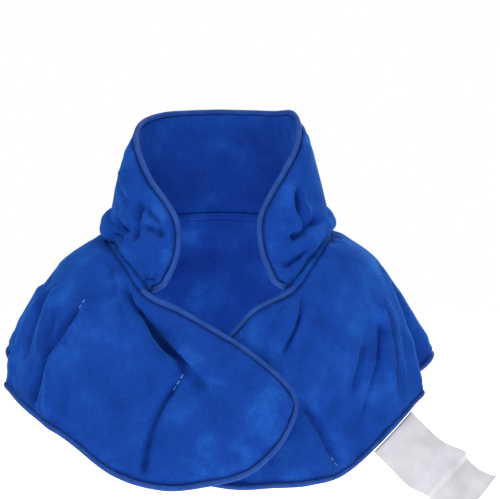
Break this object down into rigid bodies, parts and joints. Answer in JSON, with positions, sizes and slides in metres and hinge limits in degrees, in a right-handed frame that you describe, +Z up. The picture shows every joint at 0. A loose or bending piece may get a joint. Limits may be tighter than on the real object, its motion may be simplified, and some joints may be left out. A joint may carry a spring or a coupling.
{
  "type": "neck and shoulder heating pad",
  "caption": "Padded plush heating pad worn round the neck: a shoulder cape with crossing front flaps, a tall stand-up collar, satin piping and a blank care label.",
  "frame": {"origin": "on the wearer's neck axis, at the level where the collar meets the shoulders", "axes": "+Z up along the neck; the wearer faces -Y; +X towards the wearer's left shoulder, along the longest extent"},
  "size_m": [0.4446, 0.2766, 0.3603],
  "materials": {
    "plush": "short-pile royal blue plush",
    "satin_piping": "slate blue satin",
    "closure": "navy hook and loop",
    "label_satin": "white satin ribbon, blank"
  },
  "bodies": {
    "root": {"shoulder_cape": "plush", "stand_collar": "plush", "neck_seam_band": "plush", "cape_piping": "satin_piping", "collar_piping": "satin_piping", "front_closure": "closure", "care_label": "label_satin"}
  },
  "joints": []
}
